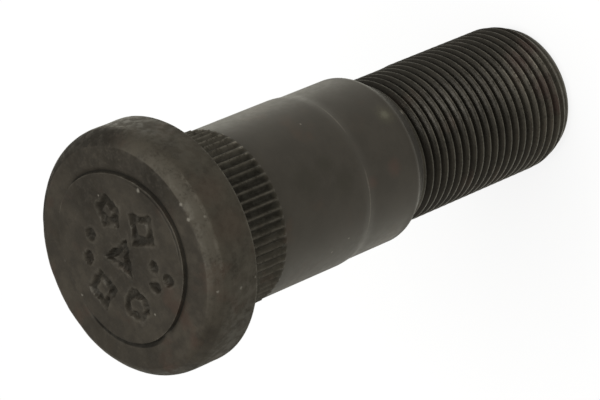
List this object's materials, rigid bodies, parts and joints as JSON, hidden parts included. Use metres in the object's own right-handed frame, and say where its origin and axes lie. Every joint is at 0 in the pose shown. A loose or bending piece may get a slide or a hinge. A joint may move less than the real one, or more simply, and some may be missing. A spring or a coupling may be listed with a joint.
{
  "type": "wheel bolt",
  "caption": "Press-in wheel bolt: round forged head, knurled collar, stepped shank and a right-hand fine thread with a chamfered end.",
  "frame": {"origin": "centre of the flat end face of the thread, on which the bolt stands", "axes": "+Z along the bolt's axis from the thread's end to the head; the bolt is round about Z, so +X and +Y are free"},
  "size_m": [0.035, 0.035, 0.08],
  "materials": {
    "blackened_steel": "black phosphate over forged and rolled steel, matt scale on the head and satin on the shank"
  },
  "bodies": {
    "root": {"wheel_bolt": "blackened_steel"}
  },
  "joints": []
}
